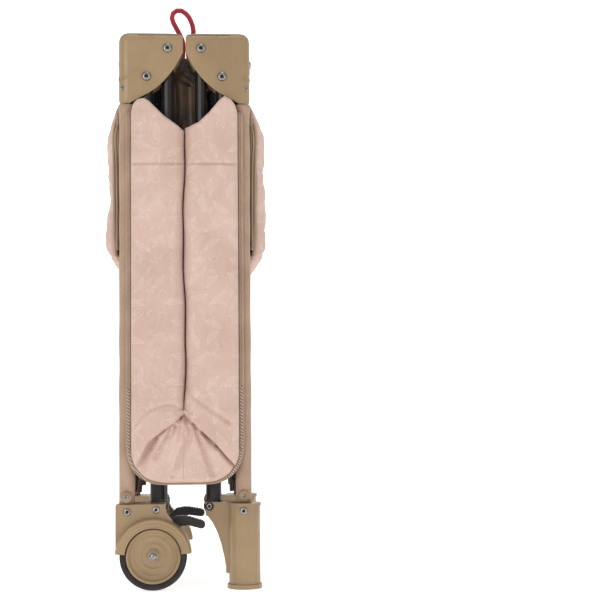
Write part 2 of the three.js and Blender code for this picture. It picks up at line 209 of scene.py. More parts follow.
def leaf_lines(look, flat, cell, seed):
    """Outlines of leaves and small flowers, one to a cell, as a mask from 0 to 1."""
    offset = (seed * 3.7, seed * 1.3, 0)
    scaled = look.node("VectorMath", {0: flat, 1: (1 / cell, 1 / cell, 0)}, operation="MULTIPLY").outputs[0]
    scaled = look.node("VectorMath", {0: scaled, 1: offset}, operation="ADD").outputs[0]
    cells = look.node("TexVoronoi", {"Vector": scaled, "Scale": 1.0, "Randomness": 0.62},
                      voronoi_dimensions="2D").outputs
    local = look.node("VectorMath", {0: scaled, 1: cells["Position"]}, operation="SUBTRACT").outputs[0]
    chance = look.node("SeparateColor", {0: cells["Color"]}).outputs
    angle = look.math("MULTIPLY", chance[0], math.tau)
    turned = look.node("VectorRotate", {"Vector": local, "Angle": angle}, rotation_type="Z_AXIS").outputs[0]
    parts = look.node("SeparateXYZ", {0: turned}).outputs
    # A leaf bends: its midrib is a shallow arc.
    bend = look.math("MULTIPLY", look.math("MULTIPLY", parts[1], parts[1]), 0.45)
    p = look.math("ABSOLUTE", look.math("SUBTRACT", parts[0], bend))
    q = parts[1]
    along = look.math("DIVIDE", q, 0.46)
    width = look.math("MULTIPLY", look.math("SUBTRACT", 1.0, look.math("MULTIPLY", along, along)), 0.145)
    line = 0.013
    def near(distance, half=line):
        return look.ramp(look.math("ABSOLUTE", distance), half * 0.6, half * 1.5, 1.0, 0.0)
    inside = look.math("GREATER_THAN", width, p)
    in_length = look.math("LESS_THAN", look.math("ABSOLUTE", q), 0.5)
    edge = look.math("MULTIPLY", near(look.math("SUBTRACT", p, width)), in_length)
    rib = look.math("MULTIPLY", near(p), in_length)
    slant = look.math("SUBTRACT", q, look.math("MULTIPLY", p, 0.8))
    vein = look.math("PINGPONG", slant, 0.055)
    veins = look.math("MULTIPLY", near(vein, line * 0.7), inside)
    leaf = look.math("MAXIMUM", look.math("MAXIMUM", edge, rib), look.math("MULTIPLY", veins, 0.7))
    radius = look.math("POWER", look.math("ADD", look.math("MULTIPLY", parts[0], parts[0]),
                                          look.math("MULTIPLY", q, q)), 0.5)
    turn = look.math("ARCTAN2", q, parts[0])
    # The other motif is a curl: an open spiral with a drop-shaped outline.
    outward = look.math("ADD", radius, look.math("MULTIPLY", turn, 0.018))
    spiral = look.math("PINGPONG", outward, 0.11)
    curl = look.math("MULTIPLY", near(spiral), look.math("LESS_THAN", radius, 0.25))
    return look.mix(look.math("GREATER_THAN", chance[1], 0.62), leaf, curl)


def printed_cloth(name, across):
    """Pink woven cloth with a lighter printed outline pattern in two sizes."""
    look = cloth(name, PINK_DARK, PINK_LIGHT, across=across)
    parts = look.node("SeparateXYZ", {0: look.place()}).outputs
    flat = look.node("CombineXYZ", {0: parts[across[0]], 1: parts[across[1]]}).outputs[0]
    large = leaf_lines(look, flat, 0.027, 1)
    small = leaf_lines(look, flat, 0.0145, 5)
    sparse = look.ramp(look.noise(30.0, 1.0, flat), 0.45, 0.51)
    mask = look.math("MAXIMUM", large, look.math("MULTIPLY", small, sparse))
    base = look.shader.inputs["Base Color"].links[0].from_socket
    look.color(look.mix(look.math("MULTIPLY", mask, 0.5), base, PRINT))
    return look.material


def satin():
    """Taupe lining with the shine of satin, its colours darkened as painted shade for the deep folds inside the
    folded package.
    """
    # Both colours are painted shade: the lining is lighter, and it sits deep inside the package.
    look = cloth("taupe_satin_painted_shade", srgb(46, 30, 18), srgb(96, 69, 43), 0.0007, 0.00003,
                 sheen=0.35, roughness=0.36)
    look.bump(look.noise(38.0, 2.0), 0.0012)
    return look.material


def braid():
    """Red cord with a diagonal plait, darker in its grooves and lighter on its strands: painted shade and
    painted highlight.
    """
    look = Look("red_braid", 0.7, Sheen_Weight=0.4)
    parts = look.node("SeparateXYZ", {0: look.place()}).outputs
    run = look.math("MULTIPLY", look.math("ADD", parts[2], parts[0]), 1500.0)
    other = look.math("MULTIPLY", look.math("SUBTRACT", parts[2], parts[0]), 1500.0)
    plait = look.math("MULTIPLY", look.math("SINE", run), look.math("SINE", other))
    # The colour follows the plait's bump: painted shade in the grooves, painted highlight on the raised
    # strands.
    look.color(look.mix(look.ramp(plait, -0.6, 0.6), srgb(150, 14, 38), srgb(208, 36, 60)))
    look.bump(plait, 0.0004)
    return look.material


def zip_teeth():
    """Fine light and dark teeth across a narrow tape."""
    look = Look("zip_teeth", 0.5)
    height = look.node("SeparateXYZ", {0: look.place()}).outputs[2]
    width = look.node("SeparateXYZ", {0: look.place()}).outputs[0]
    tooth = look.math("SINE", look.math("MULTIPLY", look.math("ADD", height, width), math.tau / 0.0046))
    look.color(look.mix(look.ramp(tooth, -0.3, 0.3), srgb(112, 92, 74), srgb(214, 198, 180)))
    look.bump(tooth, 0.0006)
    return look.material


PINK_DARK, PINK_LIGHT, PRINT = srgb(206, 174, 158), srgb(219, 189, 174), srgb(238, 217, 207)
TAN = moulded("tan_plastic", srgb(158, 132, 98), 0.38)
BLACK = moulded("black_plastic", srgb(28, 25, 23), 0.4)
# Near-black plastic for the hollows of rivets and screws: painted shade in their recesses.
HOLLOW_PAINTED_SHADE = moulded("painted_shade_hollow", srgb(20, 18, 17), 0.6)
TUBE = coated_tube()
STEEL = polished_steel()
RUBBER = rubber()
SLEEVE = cloth("sleeve_cloth", srgb(170, 140, 118), srgb(188, 158, 135)).material
PIPING = cloth("binding_tape", srgb(158, 130, 104), srgb(180, 151, 124), 0.0014, 0.0002).material
PINK_LONG = printed_cloth("pink_print_long", (0, 2))
PINK_SHORT = printed_cloth("pink_print_short", (1, 2))
SATIN_PAINTED_SHADE = satin()
BRAID = braid()
ZIP = zip_teeth()


# ---------------------------------------------------------------- mesh helpers
def mesh_object(name, points, faces, look, smooth=True):
    mesh = bpy.data.meshes.new(name)
    mesh.from_pydata([tuple(p) for p in points], [], [tuple(f) for f in faces])
    mesh.validate()
    mesh.materials.append(look)
    if smooth:
        mesh.shade_smooth()
    made = bpy.data.objects.new(name, mesh)
    bpy.context.scene.collection.objects.link(made)
    return made


def grid_faces(rows, columns, first=0, flip=False, wrap=False):
    """Quads between the points of a grid laid out row by row."""
    faces = []
    for i in range(rows - 1):
        for j in range(columns if wrap else columns - 1):
            k = (j + 1) % columns
            quad = (i * columns + j, i * columns + k, (i + 1) * columns + k, (i + 1) * columns + j)
            faces.append(tuple(first + v for v in (quad[::-1] if flip else quad)))
    return faces


def lathe(name, profile, at, axis, looks, steps=40, look_of=None, ring=False):
    """A body of revolution: profile is (radius, distance along the axis) from tip to tip, or round a ring."""
    turn = Vector((0, 0, 1)).rotation_difference(Vector(axis)).to_matrix()
    points = []
    for radius, along in profile:
        for k in range(steps):
            angle = math.tau * k / steps
            local = Vector((radius * math.cos(angle), radius * math.sin(angle), along))
            points.append(turn @ local + Vector(at))
    faces = grid_faces(len(profile), steps, wrap=True)
    last = (len(profile) - 1) * steps
    if ring:
        faces += [(last + k, last + (k + 1) % steps, (k + 1) % steps, k) for k in range(steps)]
    else:
        faces += [tuple(reversed(range(steps))), tuple(range(last, last + steps))]
    made = mesh_object(name, points, faces, looks[0])
    for look in looks[1:]:
        made.data.materials.append(look)
    if look_of:
        for index, face in enumerate(made.data.polygons):
            face.material_index = look_of(min(index // steps, len(profile) - 2))
    return made


def sweep(name, route, radius, look, sides=8, flat=1.0, closed=False, outward=(0, -1, 0)):
    """A tube or tape along a route. flat below 1 thins it along outward."""
    route = [Vector(p) for p in route]
    count = len(route)
    out = Vector(outward)
    points = []
    for i, here in enumerate(route):
        before = route[(i - 1) % count] if closed else route[max(i - 1, 0)]
        after = route[(i + 1) % count] if closed else route[min(i + 1, count - 1)]
        tangent = (after - before).normalized()
        side = tangent.cross(out)
        side = side.normalized() if side.length > 1e-6 else Vector((1, 0, 0))
        up = side.cross(tangent).normalized()
        for k in range(sides):
            angle = math.tau * k / sides
            points.append(here + side * radius * math.cos(angle) + up * radius * flat * math.sin(angle))
    faces = grid_faces(count, sides, wrap=True)
    if closed:
        last = (count - 1) * sides
        faces += [(last + k, last + (k + 1) % sides, (k + 1) % sides, k) for k in range(sides)]
    else:
        faces.append(tuple(reversed(range(sides))))
        faces.append(tuple(range((count - 1) * sides, count * sides)))
    return mesh_object(name, points, faces, look)


def spline(points, steps):
    """A smooth line through the points, evenly divided."""
    points = np.array(points, float)
    gaps = np.linalg.norm(np.diff(points, axis=0), axis=1)
    at = np.concatenate([[0], np.cumsum(gaps)])
    tangents = np.gradient(points, at, axis=0)
    t = np.linspace(0, at[-1], steps)
    i = np.clip(np.searchsorted(at, t, side="right") - 1, 0, len(points) - 2)
    h = (at[i + 1] - at[i])[:, None]
    s = ((t - at[i]) / h[:, 0])[:, None]
    return ((2 * s**3 - 3 * s**2 + 1) * points[i] + (s**3 - 2 * s**2 + s) * h * tangents[i]
            + (3 * s**2 - 2 * s**3) * points[i + 1] + (s**3 - s**2) * h * tangents[i + 1])


def ease(t):
    t = np.clip(t, 0, 1)
    return t * t * (3 - 2 * t)


def waves(first, second, length, seed, count=14, stretch=1.0):
    """Smooth random waves of about that length over two coordinates, between -1 and 1 or so."""
    chance = np.random.default_rng(seed)
    total = np.zeros_like(np.asarray(first, float) + np.asarray(second, float))
    for _ in range(count):
        angle, phase = chance.uniform(0, math.tau, 2)
        k = math.tau / length * chance.uniform(0.6, 1.5)
        total += np.sin(k * (first * math.cos(angle) + second / stretch * math.sin(angle)) + phase)
    return total / math.sqrt(count)


def rides(body, *pieces):
    for piece in pieces:
        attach(piece, body)


# ---------------------------------------------------------------- camera, light and floor
def set_camera():
    data = bpy.data.cameras.new("camera")
    data.lens = 85
    data.sensor_width = 36
    data.clip_end = 50
    camera = bpy.data.objects.new("camera", data)
    bpy.context.scene.collection.objects.link(camera)
    camera.location = (0.029, -2.10, 0.286)
    aim = Vector((0.163, -0.095, 0.4045)) - camera.location
    roll = Quaternion((0, 0, 1), math.radians(-0.45))
    camera.rotation_euler = (aim.to_track_quat("-Z", "Y") @ roll).to_euler()
    bpy.context.scene.camera = camera


def area_light(name, at, target, size, power):
    data = bpy.data.lights.new(name, "AREA")
    data.shape = "DISK"
    data.size = size
    data.energy = power
    light = bpy.data.objects.new(name, data)
    light.location = at
    light.visible_camera = False
    light.rotation_euler = (Vector(target) - Vector(at)).to_track_quat("-Z", "Y").to_euler()
    bpy.context.scene.collection.objects.link(light)


def set_stage():
    """A white floor that curves up into a backdrop, and soft light from both sides and above."""
    look = Look("white_paper", 0.9, Emission_Color=(1, 1, 1, 1), Emission_Strength=0.68)
    look.color(look.mix(look.noise(3.0), (0.88, 0.88, 0.88, 1), (0.92, 0.92, 0.92, 1)))
    turn = [(2.5 + 1.5 * math.sin(t), 1.5 - 1.5 * math.cos(t)) for t in np.linspace(0, math.pi / 2, 24)]
    profile = [(-5.0, 0.0)] + turn + [(4.0, 6.0)]
    points = [(x, y, z - 0.0006) for y, z in profile for x in (-8, 8)]
    paper = mesh_object("backdrop", points, grid_faces(len(profile), 2, flip=True), look.material)
    world = bpy.data.worlds.new("studio")
    bpy.context.scene.world = world
    world.use_nodes = True
    world.node_tree.nodes["Background"].inputs[0].default_value = (1, 1, 1, 1)
    world.node_tree.nodes["Background"].inputs[1].default_value = 0.40
    area_light("key", (-1.4, -2.3, 1.15), (0, 0, 0.35), 1.1, 17)
    area_light("fill", (1.8, -1.9, 0.7), (0, 0, 0.35), 1.4, 7)
    area_light("top", (0.2, -0.4, 2.4), (0, 0, 0.4), 1.2, 8)
    bpy.context.scene.view_settings.view_transform = "Standard"


# ---------------------------------------------------------------- cloth columns
def closed_pad(name, front, back, look):
    """A closed solid between a grid of outer points and the matching grid of inner points."""
    rows, columns = front.shape[:2]
    points = np.concatenate([front.reshape(-1, 3), back.reshape(-1, 3)])
    count = rows * columns
    faces = grid_faces(rows, columns) + grid_faces(rows, columns, count, flip=True)
    edge = [j for j in range(columns)] + [i * columns + columns - 1 for i in range(1, rows)]
    edge += [(rows - 1) * columns + j for j in range(columns - 2, -1, -1)]
    edge += [i * columns for i in range(rows - 2, 0, -1)]
    for k, here in enumerate(edge):
        there = edge[(k + 1) % len(edge)]
        faces.append((there, here, count + here, count + there))
    made = mesh_object(name, points, faces, look)
    fix_normals(made)
    return made


def fix_normals(obj):
    work = bmesh.new()
    work.from_mesh(obj.data)
    bmesh.ops.recalc_face_normals(work, faces=work.faces)
    work.to_mesh(obj.data)
    work.free()


def spread(obj, corner, side, inner, outer):
    """Cloth between a post and a rail's bar: its placement is baked into its mesh."""
    x, y = CORNERS[corner]
    along = 0 if side == "long" else 1
    sign = x if side == "long" else y
    start, end = [0, 0, 0], [0, 0, 0]
    start[along], end[along] = sign * outer, sign * inner
    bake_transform(obj)
    return obj


def column_grid(rows, columns, inner, outer, low, high):
    """Distances from the middle and heights over a column, closer together near its edges."""
    t = np.linspace(0, 1, columns)
    t = 0.55 * (1 - np.cos(math.pi * t)) / 2 + 0.45 * t
    across = outer + (inner - outer) * t
    v = np.linspace(0, 1, rows)[:, None]
    v = 0.25 * (1 - np.cos(math.pi * v)) / 2 + 0.75 * v
    bottom, top = low(across)[None, :], high(across)[None, :]
    return np.broadcast_to(across, (rows, columns)), bottom + (top - bottom) * v, bottom, top


LONG_TOP = {
    -1: ([0, 0.006, 0.030, 0.050, 0.057, 0.066, 0.072, 0.076],
         [0.645, 0.650, 0.668, 0.688, 0.692, 0.6905, 0.684, 0.672]),
    1: ([0, 0.006, 0.020, 0.035, 0.050, 0.057, 0.066, 0.072, 0.076],
        [0.650, 0.6515, 0.658, 0.672, 0.690, 0.6955, 0.691, 0.683, 0.670]),
}


def long_top(x):
    return lambda a: np.interp(a, *LONG_TOP[x])


def long_bottom(a):
    t = np.clip((a - 0.022) / 0.0545, 0, 0.995)
    return 0.1485 + 0.052 * (1 - np.sqrt(1 - t**2.6))


def groove(distance, width):
    return np.exp(-(distance / width) ** 2)


def distance_to(route, a, z):
    """Distance from points to a drawn line on the column's face, and how far along it they are, 0 to 1."""
    route = spline(route, 60)
    away = np.hypot(a[..., None] - route[:, 0], z[..., None] - route[:, 1])
    return np.min(away, axis=-1), np.argmin(away, axis=-1) / (len(route) - 1)


# The lower edges of the two columns, (distance from the middle, height), from the pinch outwards.
COLUMN_EDGE = {
    -1: [(-0.004, 0.248), (0.0, 0.245), (0.012, 0.234), (0.029, 0.223), (0.050, 0.206), (0.057, 0.193),
         (0.068, 0.170)],
    1: [(-0.004, 0.248), (0.0, 0.245), (0.016, 0.227), (0.026, 0.217), (0.042, 0.2025), (0.055, 0.187),
        (0.070, 0.171)],
}
# Valleys in the gathered cloth: route in X and Z from the pinch to the hem, width and depth.
VALLEYS = [
    ([(-0.013, 0.228), (-0.017, 0.220), (-0.021, 0.214)], 0.0028, 0.50),
    ([(-0.021, 0.224), (-0.030, 0.207), (-0.041, 0.186)], 0.0028, 0.46),
    ([(-0.040, 0.211), (-0.053, 0.190), (-0.060, 0.168)], 0.0036, 0.52),
    ([(0.004, 0.236), (0.008, 0.220), (-0.002, 0.192), (-0.016, 0.160)], 0.0034, 0.32),
    ([(0.013, 0.231), (0.018, 0.216), (0.027, 0.190), (0.038, 0.160)], 0.0028, 0.50),
    ([(0.025, 0.2185), (0.034, 0.209), (0.043, 0.200)], 0.0034, 0.54),
    ([(0.046, 0.2005), (0.058, 0.187), (0.073, 0.167)], 0.0034, 0.48),
    ([(-0.003, 0.240), (-0.005, 0.228), (-0.009, 0.210)], 0.0024, 0.28),
]
# Soft folds in the columns above the pinch.
SOFT_FOLDS = {
    -1: ([(-0.074, 0.226), (-0.060, 0.243), (-0.029, 0.258), (-0.012, 0.257), (-0.002, 0.250)], 0.0030, 0.13),
    1: ([(0.001, 0.281), (0.014, 0.268), (0.038, 0.250), (0.062, 0.233)], 0.0040, 0.22),
}


def valley(route, width, depth, x, z, fade=0.0):
    """A fold's valley, with the cloth beside it pushed up. With fade, it widens and dies out on its way."""
    away, along = distance_to(route, x, z)
    width = width * (1 + 1.3 * fade * along)
    depth = depth * (1 - fade * ease(along / 1.02))
    return depth * (0.45 * groove(away, width * 2.6) - groove(away, width))


def crown(a):
    """How far a column swells out, at a distance from the middle."""
    return 0.80 + 0.12 * np.sin(math.pi * np.clip(a / COLUMN_OUTER, 0, 1))


def outer_edge(a):
    """How far a column's outer edge has rounded off: 1 on the flat, 0 at the edge."""
    return 1 - np.clip((a - 0.0685) / 0.0072, 0, 1) ** 2


def folded_column(x, a, z, edge, below, seed):
    """The two rounded columns, whose lower edges curve outwards over the gathered cloth."""
    inner_edge = 1 - np.clip((CREASE_ROUND - a) / CREASE_ROUND, 0, 1) ** 2
    column = crown(a) * np.sqrt(np.clip(np.minimum(inner_edge, outer_edge(a)), 0.002, 1))
    column += 0.05 * waves(x, z, 0.060, seed, stretch=3.0) * column
    roll = np.clip(1 - np.maximum(edge + 0.010 - a, 0) / 0.010, 0, 1)
    low_column = crown(a) * np.sqrt(np.clip(outer_edge(a), 0.002, 1))
    low_column = low_column * (0.80 + 0.20 * np.sqrt(1 - (1 - roll) ** 2))
    return np.where(below, low_column, column)


def gathered_cloth(x, a, z, edge):
    """The fan of folds that spreads from the pinch to the hem."""
    pinch = np.hypot(x, z - 0.247)
    turn = np.arctan2(x, PINCH_Z - z)
    gathered = 0.52 + 0.06 * waves(turn, pinch * 4, 0.5, 7) - 0.22 * ease((0.02 - pinch) / 0.02)
    for route, width, amount in VALLEYS:
        gathered = gathered + valley(route, width, amount, x, z, fade=0.4)
    gathered -= 0.26 * groove(np.minimum(a - edge, 0), 0.0042)
    return gathered * (1 - 0.25 * ease((a - 0.05) / 0.02))


def sewn(x, a, z, column, seed):
    """The sewn seam, the puckers along it, and wrinkles."""
    depth = -0.19 * groove(z - SEAM_Z, 0.0017) * column
    phase = a * math.tau / 0.0085 + 2 * waves(x, z, 0.02, seed + 2)
    depth = depth + 0.022 * (np.sin(phase) * np.exp(-np.abs(z - SEAM_Z) / 0.011)) * column
    depth = depth + 0.024 * waves(x, z, 0.026, 3, stretch=2.2) * column
    return depth + 0.010 * waves(x, z, 0.011, 4, stretch=1.5) * column


def long_depth(x, z, bottom, top, side, seed):
    """How far a long side's column stands out of its back plane, from its signed place across."""
    a = np.abs(x)
    edge_a, edge_z = np.array(COLUMN_EDGE[side]).T
    edge = np.interp(-z, -edge_z, edge_a)
    below = z < PINCH_Z
    over = np.where(below, ease((a - edge) / 0.0035 + 0.25), 1.0)
    column = folded_column(x, a, z, edge, below, seed)
    depth = np.where(below, column * over + gathered_cloth(x, a, z, edge) * (1 - over), column)
    # Where the crease ends, the two columns press together instead of parting.
    soft = ease(np.abs(z - 0.2475) / 0.006)
    depth = np.where(a < 0.012, depth * (0.45 + 0.55 * soft) + 0.35 * (1 - soft), depth)
    route, width, amount = SOFT_FOLDS[side]
    depth = depth + valley(route, width, amount, x, z) * over
    depth = depth + sewn(x, a, z, column, seed)
    lip = np.clip((top - z) / 0.007, 0, 1)
    depth *= 0.10 + 0.90 * np.sqrt(1 - (1 - lip) ** 2)
    hem = np.clip((z - bottom) / 0.008, 0, 1)
    depth *= 0.22 + 0.78 * np.sqrt(1 - (1 - hem) ** 2)
    return np.clip(depth, 0.03, 1.10) * COLUMN_DEPTH


def crease(z):
    """The line where the two columns of a long side meet wanders a little."""
    return 0.0016 * np.sin(z * 21 + 0.6) + 0.0007 * np.sin(z * 67) - 0.0006


def long_column(corner):
    x, y = CORNERS[corner]
    inner, outer = 0.0001, COLUMN_OUTER
    a, z, bottom, top = column_grid(360, 92, inner, outer, long_bottom, long_top(x))
    depth = long_depth(x * a, z, bottom, top, x, 11 if x < 0 else 29)
    meet = x * a + crease(z) * (1 - ease(a / 0.03))
    # The crease opens at the front only.
    part = x * 0.0011 * ease((z - CREASE_END) / 0.03) * (1 - ease(a / 0.012))
    front = np.stack([meet + part, y * (CLOTH_BACK + depth), z], -1)
    back = np.stack([meet, np.full_like(a, y * CLOTH_BACK), z], -1)
    made = closed_pad("long_side_cloth_" + corner, front, back, PINK_LONG)
    spread(made, corner, "long", inner, outer)
    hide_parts("long_side_fabric_" + corner)
    long_binding(corner, inner, outer)


def long_binding(corner, inner, outer):
    """Binding tape round the free edge of a long side's column, its flange, and the zip in its lower part."""
    x, y = CORNERS[corner]
    edge = [(0.0768, h) for h in np.linspace(0.672, 0.203, 60)]
    edge += [(a, float(long_bottom(np.array(a)))) for a in 0.0765 - 0.0545 * np.linspace(0, 1, 34) ** 1.6]
    edge += [(a, 0.1485) for a in np.linspace(0.021, 0.0, 8)]
    def route(inset, out, drop):
        lower = [ease((0.2 - z) / 0.03) for _, z in edge]
        return [(x * (a - inset * ease(a / 0.01)), y * out, z - drop * w) for (a, z), w in zip(edge, lower)]
    cords = [sweep("long_side_binding_" + corner, route(-0.0006, CLOTH_BACK + 0.0034, 0.0012), 0.0016, PIPING,
                   outward=(0, y, 0)),
             sweep("long_side_flange_" + corner, route(-0.0036, CLOTH_BACK + 0.0012, 0.0002), 0.0026, SLEEVE,
                   flat=0.4, outward=(0, y, 0))]
    teeth = [p for p in route(-0.0022, CLOTH_BACK + 0.0042, 0.0016) if p[2] < 0.289 and abs(p[0]) > 0.056]
    cords.append(sweep("long_side_zip_" + corner, teeth, 0.0017, ZIP, flat=0.6, outward=(0, y, 0)))
    for made in cords:
        fix_normals(made)
        spread(made, corner, "long", inner, outer)


# The short sides' silhouettes: height, and how far the roll of cloth reaches from the middle plane.
ROLL = {
    -1: ([0.15, 0.440, 0.452, 0.462, 0.474, 0.490, 0.507, 0.530, 0.554, 0.585, 0.607, 0.630,
          0.648, 0.664, 0.678, 0.69],
         [0.0895, 0.0895, 0.0935, 0.1010, 0.1085, 0.1130, 0.1140, 0.1115, 0.1070, 0.1115, 0.1100, 0.1120,
          0.1105,
          0.1060, 0.1010, 0.0955]),
    1: ([0.15, 0.440, 0.450, 0.464, 0.478, 0.490, 0.536, 0.566, 0.597, 0.611, 0.635, 0.650, 0.664, 0.678, 0.69],
        [0.0895, 0.0895, 0.0950, 0.1060, 0.1130, 0.1155, 0.1160, 0.1165, 0.1130, 0.1140, 0.1150, 0.1140, 0.1095,
         0.1020, 0.0955]),
}


def short_top(a):
    return np.interp(a, [0, 0.03, 0.06, 0.075], [0.677, 0.686, 0.689, 0.687])


def short_bottom(a):
    return np.interp(a, [0, 0.03, 0.06, 0.075], [0.164, 0.160, 0.162, 0.170])


def short_back(z):
    """The inner face: beside the folded rail it stands out, and below the rail it lies between the posts."""
    return 0.0855 + (CLOTH_BACK - 0.0855) * ease((z - 0.452) / 0.028) - 0.0034 * ease((z - 0.664) / 0.014)


def short_face(a, z, top, side, seed):
    """Distance of the roll's outer face from the middle plane."""
    reach = np.interp(z, *ROLL[side])
    back = short_back(z)
    crown = np.clip(1 - np.abs((a - 0.034) / 0.0368) ** 3, 0, 1) ** 0.5
    depth = np.maximum(reach - back, 0.002) * (0.30 + 0.70 * crown)
    roll = ease((z - 0.45) / 0.03)
    depth += 0.0013 * waves(a, z, 0.040, seed, stretch=1.6) * crown * roll
    depth += 0.0005 * waves(a, z, 0.016, seed + 1, stretch=1.6) * crown
    depth -= 0.0016 * groove(z - SEAM_Z, 0.0015) * roll
    drape = np.sin(a * math.tau / 0.024 + 2 * waves(a, z, 0.05, seed + 2))
    depth += 0.0016 * drape * (groove(z - 0.462, 0.022) + 0.4 * (1 - roll))
    lip = np.clip((top - z) / 0.010, 0, 1)
    depth *= 0.25 + 0.75 * np.sqrt(1 - (1 - lip) ** 2)
    return back + np.clip(depth, 0.0012, 0.021)


def short_column(corner):
    x, y = CORNERS[corner]
    inner, outer = 0.0006, 0.0695
    a, z, _, top = column_grid(260, 64, inner, outer, short_bottom, short_top)
    face = short_face(a, z, top, x, 41 if y < 0 else 53)
    front = np.stack([x * face, y * a, z], -1)
    back = np.stack([x * short_back(z), y * a, z], -1)
    made = closed_pad("short_side_cloth_" + corner, front, back, PINK_SHORT)
    spread(made, corner, "short", inner, outer)
    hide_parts("short_side_fabric_" + corner)
    short_binding(corner, inner, outer)


def short_binding(corner, inner, outer):
    """Bound edges beside the post: two curl out of the fold, and one lies along it."""
    x, y = CORNERS[corner]
    curls = [
        ([(0.0945, 0.672), (0.0975, 0.665), (0.1005, 0.655), (0.1020, 0.641), (0.1015, 0.620),
          (0.1010, 0.590), (0.1005, 0.540), (0.0995, 0.500), (0.0975, 0.470)], 0.0722, 0.0018),
        ([(0.0940, 0.662), (0.0965, 0.655), (0.0985, 0.645), (0.0990, 0.632), (0.0975, 0.610),
          (0.0970, 0.580), (0.0965, 0.530), (0.0965, 0.480)], 0.0765, 0.0015),
        ([(0.0953, 0.6805), (0.0957, 0.640), (0.0957, 0.560), (0.0955, 0.478)], 0.0740, 0.0021),
    ]
    for number, (profile, across, radius) in enumerate(curls, 1):
        line = spline(profile, 60)
        route = [(x * out, y * (across + 0.0008 * math.sin(z * 90)), z) for out, z in line]
        tape = sweep(f"short_side_binding_{number}_{corner}", route, radius, PIPING, outward=(x, 0, 0))
        fix_normals(tape)
        spread(tape, corner, "short", inner, outer)


# ---------------------------------------------------------------- rivets and screws
def rivet(name, at, axis, body, radius=0.0058, rise=0.0030):
    """A domed tubular rivet with a hollow in its middle, the hollow painted near-black as shade."""
    profile = [(radius, 0), (radius, rise * 0.35), (radius * 0.93, rise * 0.65), (radius * 0.78, rise * 0.9),
               (radius * 0.6, rise), (radius * 0.46, rise * 0.97), (radius * 0.38, rise * 0.8),
               (radius * 0.33, rise * 0.35), (radius * 0.02, rise * 0.3)]
    # The rings inside the hollow get the painted shade.
    made = lathe(name, profile, at, axis, [STEEL, HOLLOW_PAINTED_SHADE], 28, lambda ring: 1 if ring >= 6 else 0)
    rides(body, made)
    return made


def dome(name, at, axis, body, radius, rise):
    """A plain polished cap."""
    profile = [(radius * math.cos(t), rise * math.sin(t)) for t in np.linspace(0, 1.53, 12)]
    made = lathe(name, [(radius, -0.0004)] + profile, at, axis, [STEEL], 28)
    rides(body, made)
    return made


def bracket_ridges():
    """A fine raised line that sweeps across each bracket's two faces."""
    arc = spline([(0.0440, 0.7870), (0.0520, 0.7620), (0.0620, 0.7430), (0.0780, 0.7270), (0.0895, 0.7190)], 40)
    for corner, (x, y) in CORNERS.items():
        long_face = [(x * a, y * (HALF - 0.0001), z) for a, z in arc]
        short_face = [(x * (HALF - 0.0001), y * a, z) for a, z in arc]
        rides("post_" + corner,
              sweep("bracket_ridge_long_" + corner, long_face, 0.0007, TAN, flat=0.5, outward=(0, y, 0)),
              sweep("bracket_ridge_short_" + corner, short_face, 0.0007, TAN, flat=0.5, outward=(x, 0, 0)))


def rail_rivets():
    head = HALF + 0.0003
    for corner, (x, y) in CORNERS.items():
        for kind, (at, z) in (("upper", UPPER), ("lower", LOWER)):
            body = f"long_rail_{kind}_bar_{corner}"
            rivet(f"rivet_{kind}_{corner}", (x * at, y * head, z), (0, y, 0), body, 0.0065, 0.0036)
        at, z = SHORT
        body = f"short_rail_bar_{corner}"
        rivet(f"rivet_short_{corner}", (x * head, y * at, z), (x, 0, 0), body, 0.0065, 0.0036)


def screw(name, at, axis, body, radius=0.0032):
    """A small countersunk screw with a recess, the recess painted near-black as shade."""
    profile = [(radius, 0), (radius, 0.0006), (radius * 0.85, 0.0011), (radius * 0.4, 0.0012),
               (radius * 0.34, 0.0002), (radius * 0.02, 0.0001)]
    # The rings inside the recess get the painted shade.
    made = lathe(name, profile, at, axis, [STEEL, HOLLOW_PAINTED_SHADE], 20, lambda ring: 1 if ring >= 3 else 0)
    rides(body, made)


# ---------------------------------------------------------------- hard parts carried over from the CAD
def dress(prefix, look, bevel=0.0):
    """Gives the CAD nodes of that name a material, and rounds their edges."""
    for name, node in NODES.items():
        if not name.startswith(prefix):
            continue
        for slot in node.material_slots:
            slot.material = look
        if bevel:
            made = node.modifiers.new("rounding", "BEVEL")
            made.width = bevel
            made.segments = 3
            made.limit_method = "ANGLE"
            made.angle_limit = math.radians(32)
            made.use_clamp_overlap = True
            node.data.shade_smooth()
            node.modifiers.new("normals", "WEIGHTED_NORMAL")


def dress_frame():
    dress("corner_bracket", TAN, 0.0016)
    dress("wheel_housing", TAN, 0.0024)
    dress("foot_", TAN, 0.0018)
    dress("long_rail_hinge", TAN, 0.001)
    dress("short_rail_hinge", TAN, 0.001)
    dress("long_rail_button", BLACK, 0.0008)
    dress("short_rail_button", BLACK, 0.0008)
    dress("floor_hub", BLACK, 0.001)
    dress("brake_pedal", BLACK, 0.0009)
    dress("post_tube", TUBE)
    dress("long_rail_upper_bar", TUBE, 0.0006)
    dress("long_rail_lower_bar", TUBE, 0.0006)
    dress("short_rail_bar", TUBE, 0.0006)
    dress("floor_tube", TUBE, 0.0006)
    dress("axle", STEEL, 0.0006)


